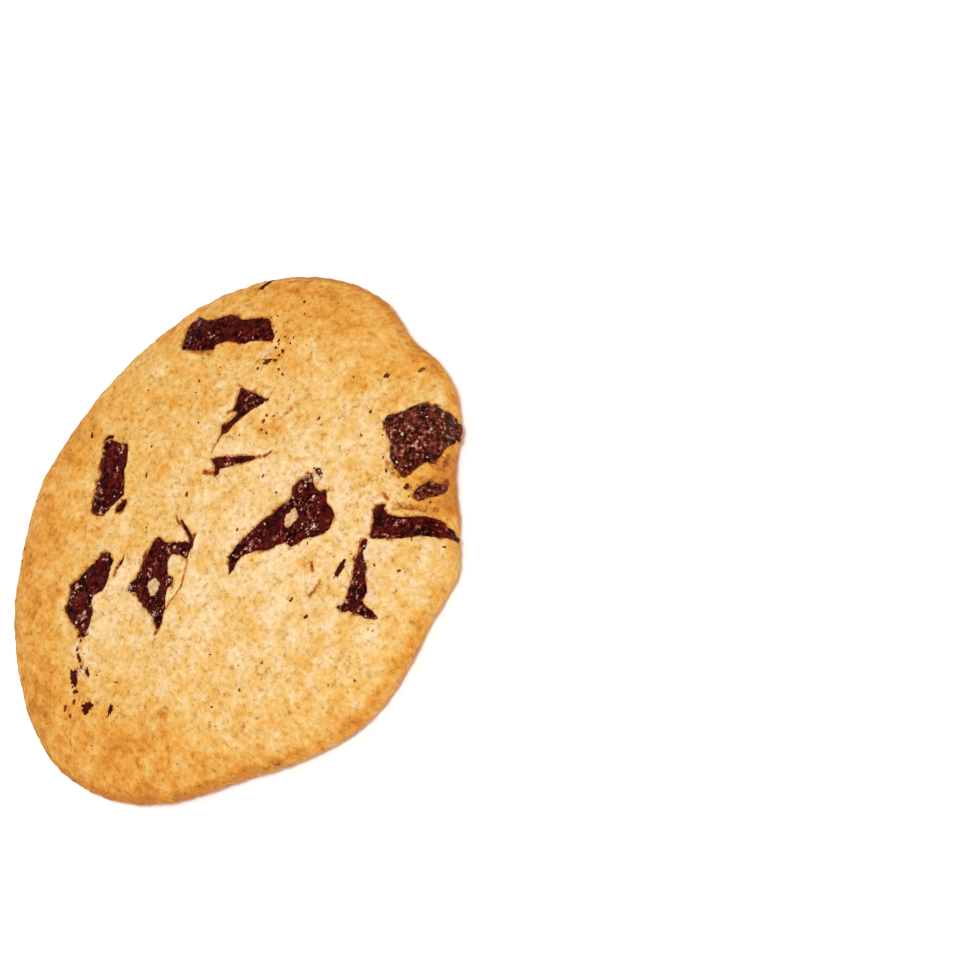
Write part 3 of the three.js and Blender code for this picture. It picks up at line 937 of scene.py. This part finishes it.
def flour_crumb(name, pale, deep):
    """Pale crumb without the crust's browning: two tones in grains a half millimetre wide, which also make
    the bump."""
    made, tree, shader = new_material(name)
    grain = noise_of(tree, put(tree, "TexCoord")["Object"], 0.5, 3, 0.7)
    tones = ramp_of(tree, grain, [(0.35, deep), (0.6, pale)])
    finish(tree, shader, tones, sum_of(tree, grain, -0.3, 0.85), CRUMB_SPECULAR, grain, 0.0002)
    return made


dabs.data.materials.append(flour_crumb("dab_crumb", colour(236, 198, 150), colour(200, 150, 98)))
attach(dabs, "root")


# Chips and specks of chocolate in the crust. Chopping a bar leaves splinters from 4 mm down to dust, which
# were stirred into the dough with the chunks and lie half sunk in its skin.

# x, y, length, width, the direction of the length in degrees, and how brown it is, 0 for dark chocolate.
CHIPS = [
    (-32.9, 6.6, 3.6, 1.8, 55, 0.0),
    (-35.1, 0.3, 3.4, 2.5, 120, 0.0),
    (-32.8, -4.4, 2.4, 1.1, 30, 0.0),
    (-30.8, 4.5, 2.2, 1.1, 70, 0.1),
    (7.0, -28.6, 3.6, 1.2, 5, 0.0),
    (37.0, 23.1, 3.2, 1.4, 175, 0.1),
    (26.7, 9.9, 2.0, 1.2, 150, 0.3),
    (6.9, -20.6, 1.2, 0.6, 60, 0.2),
    (-29.9, 8.1, 1.7, 0.8, 60, 0.3),
    (-34.4, 4.5, 1.5, 0.9, 100, 0.2),
    (-35.8, 3.6, 1.1, 0.6, 40, 0.4),
    (-37.6, 4.6, 1.4, 0.7, 30, 0.4),
    (-38.0, 2.6, 0.9, 0.6, 30, 0.5),
    (-27.6, 9.9, 0.8, 0.6, 10, 0.3),
    (-29.0, 9.5, 1.0, 0.6, 30, 0.3),
    (-30.8, 6.6, 0.9, 0.5, 60, 0.3),
    (-0.1, 35.9, 1.7, 0.7, 40, 0.3),
    (35.4, -13.4, 1.2, 1.0, 0, 0.3),
    (39.2, -17.4, 1.2, 0.8, 0, 0.7),
    (30.6, 10.5, 0.9, 0.6, 20, 0.1),
    (31.6, 9.7, 0.8, 0.5, 120, 0.2),
    (29.4, 10.1, 0.9, 0.6, 80, 0.1),
    (30.1, 10.0, 0.6, 0.4, 0, 0.2),
    (29.5, 8.2, 1.0, 0.6, 80, 0.2),
    (28.6, 8.4, 0.8, 0.5, 20, 0.2),
    (26.3, 10.0, 0.7, 0.5, 50, 0.4),
    (27.6, 8.5, 1.1, 0.6, 120, 0.3),
    (24.9, 10.8, 1.0, 0.6, 30, 0.5),
    (26.7, 6.5, 0.8, 0.5, 80, 0.5),
    (33.8, 14.4, 0.8, 0.5, 100, 0.3),
    (30.1, 12.0, 0.7, 0.5, 30, 0.2),
    (32.3, 7.9, 0.7, 0.4, 40, 0.4),
    (26.4, 5.2, 0.8, 0.5, 80, 0.6),
    (-2.1, -28.1, 1.1, 0.7, 150, 0.2),
    (-1.4, -23.7, 1.0, 0.6, 170, 0.5),
    (29.3, -15.3, 0.8, 0.6, 30, 0.4),
    (25.5, -16.6, 1.3, 0.8, 60, 0.6),
    (18.7, -41.3, 1.1, 0.7, 100, 0.2),
    (23.0, -29.7, 1.3, 0.9, 30, 0.2),
    (24.5, -22.9, 0.7, 0.4, 30, 0.3),
    (23.2, -24.9, 0.9, 0.5, 60, 0.3),
    (1.8, 7.6, 1.1, 0.5, 40, 0.4),
    (0.2, 18.2, 1.2, 0.5, 40, 0.4),
    (5.0, 6.6, 0.8, 0.5, 20, 0.3),
    (2.9, 11.7, 0.7, 0.5, 70, 0.5),
    (4.5, 21.1, 0.8, 0.4, 20, 0.6),
    (17.8, 20.7, 0.8, 0.5, 40, 0.5),
    (20.2, 16.0, 0.9, 0.4, 60, 0.5),
    (23.3, 17.2, 0.8, 0.4, 30, 0.6),
    (17.6, 18.3, 0.7, 0.4, 0, 0.6),
    (15.9, 19.6, 0.8, 0.4, 110, 0.6),
    (13.5, 11.2, 0.7, 0.4, 50, 0.4),
    (12.2, 14.9, 0.6, 0.4, 80, 0.5),
    (11.4, -4.5, 0.8, 0.5, 20, 0.5),
    (8.3, -5.1, 0.6, 0.4, 70, 0.5),
    (10.5, -8.9, 0.7, 0.4, 30, 0.5),
    (18.5, 2.2, 0.8, 0.6, 20, 0.7),
    (19.6, 2.5, 0.7, 0.5, 60, 0.7),
    (20.1, 1.3, 0.8, 0.5, 0, 0.7),
    (17.2, 1.7, 0.6, 0.5, 90, 0.7),
    (17.2, 0.6, 0.7, 0.5, 40, 0.7),
    (23.9, -7.1, 0.8, 0.5, 0, 0.4),
    (19.1, -5.1, 0.8, 0.5, 70, 0.5),
    (-17.2, -25.3, 0.8, 0.6, 70, 0.5),
    (-11.8, -26.1, 0.8, 0.6, 20, 0.6),
]
SPECKS = 110
SPECK_SIZES = (0.3, 0.9)
CRUMBS = 420
CRUMB_SIZES = (0.22, 0.7)
CRUMB_REACH = 0.8  # how far from a chunk its own crumbs lie
LARGE_CHIP = 1.6  # from this length on a chip has crumbs round it, too
LONG_CHIP = 1.5
CHIP_OUT = np.array([0.55, 0.9, 1.0])  # how far out each ring of a chip lies, as a share
CHIP_RISE = np.array([0.8, 0.4, -0.6])  # and how high, as a share of its thickness
THICKEST_CHIP = 0.3


def polar_faces(rings, steps):
    """Quads between neighbouring rings, and triangles to a point before the first and after the last."""
    here = np.arange(steps)
    there = (here + 1) % steps
    last = 1 + rings * steps
    quads = []
    for ring in range(rings - 1):
        inner, outer = 1 + ring * steps, 1 + (ring + 1) * steps
        quads.append(np.stack([inner + here, outer + here, outer + there, inner + there], 1))
    top = np.stack([np.zeros(steps, int), 1 + here, 1 + there], 1)
    bottom = np.stack([np.full(steps, last), last - steps + there, last - steps + here], 1)
    return np.concatenate(quads).tolist() + top.tolist() + bottom.tolist()


def chip_surface(x, y, length, width, turn, seed, lying=top_height, plump=0.22):
    """A splinter: an ellipse with a broken outline, whose corners are drawn at random, thin at its rim, as
    high in the middle as its width times how plump it is, and half under what it lies on."""
    draw = np.random.default_rng(seed)
    steps = 21 if length > LONG_CHIP else 9
    around = np.linspace(0, 2 * math.pi, steps, endpoint=False) + draw.uniform(-0.1, 0.1, steps)
    reach = draw.uniform(0.5, 1.2, steps)
    thick = min(THICKEST_CHIP, plump * width)
    long = length / 2 * np.outer(CHIP_OUT, np.cos(around) * reach)
    wide = width / 2 * np.outer(CHIP_OUT, np.sin(around) * reach)
    a = math.radians(turn)
    flat_x = np.concatenate([[0], (long * math.cos(a) - wide * math.sin(a)).ravel(), [0]]) + x
    flat_y = np.concatenate([[0], (long * math.sin(a) + wide * math.cos(a)).ravel(), [0]]) + y
    up = np.concatenate([[1], np.repeat(CHIP_RISE, steps), [-1]]) * thick
    up[1:-1] += draw.uniform(-0.2, 0.2, len(CHIP_OUT) * steps) * thick
    return np.stack([flat_x, flat_y, lying(flat_x, flat_y) + up], 1), polar_faces(len(CHIP_OUT), steps)


def scattered_specks(count, seed, least, most, brown):
    """Specks thrown evenly over the round, with few large and many small."""
    draw = np.random.default_rng(seed)
    r = COOKIE_RADIUS * np.sqrt(draw.uniform(0, 0.93, count))
    angle = draw.uniform(0, 2 * math.pi, count)
    length = least + (most - least) * draw.uniform(0, 1, count) ** 3
    width = length * draw.uniform(0.35, 0.8, count)
    turn = draw.uniform(0, 180, count)
    return np.column_stack([round_middle(angle, r, length), width, turn, draw.uniform(*brown, count)])


thrown = scattered_specks(SPECKS, 7, *SPECK_SIZES, (0.4, 1.0))
thrown = thrown[chunk_distance(*thrown.T[:2]) > 0.6]
crumbs = scattered_specks(CRUMBS * 8, 8, *CRUMB_SIZES, (0.1, 0.7))
large = np.array([row for row in CHIPS if row[2] > LARGE_CHIP])
past_chip = np.hypot(crumbs[:, :1] - large[:, 0], crumbs[:, 1:2] - large[:, 1]) - large[:, 2] / 3
crumb_near = np.minimum(chunk_distance(*crumbs.T[:2]), past_chip.min(axis=1))
luck = np.random.default_rng(9).uniform(0, 1, len(crumbs))
crumbs = crumbs[(crumb_near > 0.25) & (luck < np.exp(-crumb_near / CRUMB_REACH))][:CRUMBS]
splinters = np.concatenate([CHIPS, thrown, crumbs])
shapes = [chip_surface(*row[:5], 200 + i) for i, row in enumerate(splinters)]
points, faces = joined(shapes)
counts = [len(some_points) for some_points, _ in shapes]
chips = laid_in_frame("chocolate_splinters", points, faces, brown=np.repeat(splinters[:, 5], counts))
SPLINTER_CHOCOLATE = colour(74, 12, 5)
SPLINTER_BROWN = colour(164, 84, 30)
SPLINTER_SPECULAR = 0.1


def splinter_chocolate():
    """Chocolate dust and splinters: thin bits let the dough's warm colour through, so they run from nearly
    black to caramel by the stored brown, with a fine speckle."""
    made, tree, shader = new_material("splinter_chocolate")
    [brown] = stored(tree, "brown")
    speckle = noise_of(tree, put(tree, "TexCoord")["Object"], 0.4, 3, 0.7)
    share = sum_of(tree, shifted(tree, brown, speckle, 1.2), 1, -0.04, True)
    tint = blended(tree, share, SPLINTER_CHOCOLATE, SPLINTER_BROWN)
    finish(tree, shader, tint, sum_of(tree, speckle, 0.4, 0.3), SPLINTER_SPECULAR, speckle, 0.00016)
    return made


chips.data.materials.append(splinter_chocolate())
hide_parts("dough")
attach(chips, "root")


# Pale crumbs on the chunks. Dry flour and crumbs of the scraped tray stuck to the chocolate while it was
# soft, as single grains and as dust in a few places. The single grains sit where the chocolate glints and
# are partly painted highlights.

# x and y of each grain that shows by itself, by chunk, set where the chocolate glints: partly a crumb and
# partly a painted highlight.
PALE_GRAINS_AND_GLINTS = {
    "shard": [(5.5, -10.8), (2.9, -11.2), (-1.4, -9.1), (11.4, -12.8), (14.1, -13.2), (10.7, -15.5),
              (8.4, -17.5), (9, -17.3), (13.2, -17.7), (13.5, -16.1)],
    "kite": [(-7.4, 5.5), (-6.1, 2.9), (-5.8, 1.7), (-5.9, 0.5)],
    "leaf": [(-19.2, 17.3), (-20.7, 16.7), (-15.1, 16), (-14.6, 15.1), (-14.9, 15.7), (-25.6, 11.5),
             (-25.8, 13)],
    "bar": [(22.9, 28.8)],
    "slab": [(-4.6, 21.1), (-5.8, 21.9)],
    "lump": [(32.3, -27.2), (29.4, -23.4), (29.2, -24.2), (25.2, -26.4), (24.7, -27.7), (25.5, -27.9),
             (33.6, -24), (33.5, -25.3), (28.4, -29.4)],
    "stub": [(23.4, -32)],
}
GRAIN_SIZES = (0.3, 0.7)
DUST_PER_PLACE = 26
DUST_SIZES = (0.12, 0.4)


def grain_heights(name):
    """The height of the chunk's top as a function of the place."""
    return lambda x, y: chunk_top(name, x, y, np.clip(-distance_to_chunk(name, x, y), 0, None))


def grains_of(rows, sizes, seed, lying):
    """A plump splinter at each place, of a size and turn drawn at random, the small ones the likelier."""
    draw = np.random.default_rng(seed)
    shapes = []
    for number, (x, y) in enumerate(rows):
        length = sizes[0] + (sizes[1] - sizes[0]) * draw.uniform() ** 2
        width, turn = length * draw.uniform(0.6, 0.9), draw.uniform(0, 180)
        shapes.append(chip_surface(x, y, length, width, turn, 1000 * seed + number, lying, 0.4))
    return shapes


def dust_places(seed):
    """Places thrown round each dusting with a Gaussian's density."""
    draw = np.random.default_rng(seed)
    thrown = [(x, y) + 0.6 * reach * draw.normal(size=(DUST_PER_PLACE, 2)) for x, y, reach in FLOUR]
    return np.concatenate(thrown)


# The single grains below are partly painted highlights; the dust is flour and crumbs.
grains = []
for number, (name, rows) in enumerate(PALE_GRAINS_AND_GLINTS.items()):
    grains += grains_of(rows, GRAIN_SIZES, 300 + number, grain_heights(name))
dust = dust_places(11)
for number, name in enumerate(CHUNKS):
    on_chunk = distance_to_chunk(name, *dust.T) < -0.1
    grains += grains_of(dust[on_chunk], DUST_SIZES, 320 + number, grain_heights(name))
grains += grains_of(dust[chunk_distance(*dust.T) > 0.1], DUST_SIZES, 340, top_height)
pale_crumbs_and_glints = laid_in_frame("pale_crumbs_and_glints", *joined(grains))
pale_crumbs_and_glints.data.materials.append(flour_crumb("pale_crumb", colour(240, 212, 184), colour(206, 168, 132)))
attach(pale_crumbs_and_glints, "root")


# The plain white floor it is photographed on, which is no part of the cookie.

FLOOR_REACH = 3.0  # in metres, as all that follows
FLOOR_DROP = 0.00003
FLOOR_LOOK = {"Base Color": (0.98, 0.98, 0.98, 1), "Emission Color": (1, 1, 1, 1), "Emission Strength": 0.12,
              "Roughness": 1.0, "Specular IOR Level": 0.0}

floor_mesh = bpy.data.meshes.new("floor")
floor_sides = [(-1, -1), (1, -1), (1, 1), (-1, 1)]
floor_mesh.from_pydata([(FLOOR_REACH * a, FLOOR_REACH * b, 0) for a, b in floor_sides], [], [(0, 1, 2, 3)])
floor = in_scene("floor", floor_mesh)
floor.location.z = -FLOOR_DROP
white, _, white_shader = new_material("white_floor")
for word, value in FLOOR_LOOK.items():
    white_shader.inputs[word].default_value = value
floor.data.materials.append(white)


# Soft studio light: a soft lamp over the camera's side, two small ones beyond the cookie that glint on the
# chocolate, and a white room, which the gloss hardly sees.

# Each lamp's place, its size and power, and whether it shows in the gloss.
LAMPS = {
    "key": ((0.04, -0.3, 0.75), 0.25, 3.8, False),
    "glint": ((-0.3, 0.5, 0.6), 0.06, 0.7, True),
    "side_glint": ((0.2, 0.3, 0.8), 0.04, 0.4, True),
}
ROOM_LIGHT = 0.45
ROOM_IN_GLOSS = 0.03

for name, (place, size, power, in_gloss) in LAMPS.items():
    light = bpy.data.lights.new(name, "AREA")
    light.shape = "SQUARE"
    light.size = size
    light.energy = power
    lamp = in_scene(name, light)
    lamp.location = place
    lamp.rotation_euler = (-lamp.location).to_track_quat("-Z", "Y").to_euler()
    lamp.visible_glossy = in_gloss
world = bpy.data.worlds.new("room")
world.use_nodes = True
room = world.node_tree.nodes["Background"]
room.inputs["Color"].default_value = (1, 1, 1, 1)
glossy_ray = put(world.node_tree, "LightPath")["Is Glossy Ray"]
strength = sum_of(world.node_tree, glossy_ray, ROOM_IN_GLOSS - ROOM_LIGHT, ROOM_LIGHT)
world.node_tree.links.new(strength, room.inputs["Strength"])
bpy.context.scene.world = world
bpy.context.scene.view_settings.view_transform = "Standard"


# The camera looks down on the cookie from the side it was photographed from, rolled as the cookie leaned.

ELEVATION = math.radians(48.75)
ROLL = math.radians(56.1)
AIM = (30.0, -36.0)  # in the cookie's plan
DISTANCE = 0.4065
FOCAL_LENGTH = 100
SENSOR_WIDTH = 36

lens = bpy.data.cameras.new("camera")
lens.lens = FOCAL_LENGTH
lens.sensor_width = SENSOR_WIDTH
lens.clip_start = 0.01
camera = in_scene("camera", lens)
level_right = Vector((1, 0, 0))
level_up = Vector((0, math.sin(ELEVATION), math.cos(ELEVATION)))
back = Vector((0, -math.cos(ELEVATION), math.sin(ELEVATION)))
right = math.cos(ROLL) * level_right - math.sin(ROLL) * level_up
up = math.sin(ROLL) * level_right + math.cos(ROLL) * level_up
camera.matrix_world = Matrix((right, up, back)).transposed().to_4x4()
camera.location = Vector((*(TO_FRAME + np.array(AIM) / 1000), 0)) + DISTANCE * back
bpy.context.scene.camera = camera
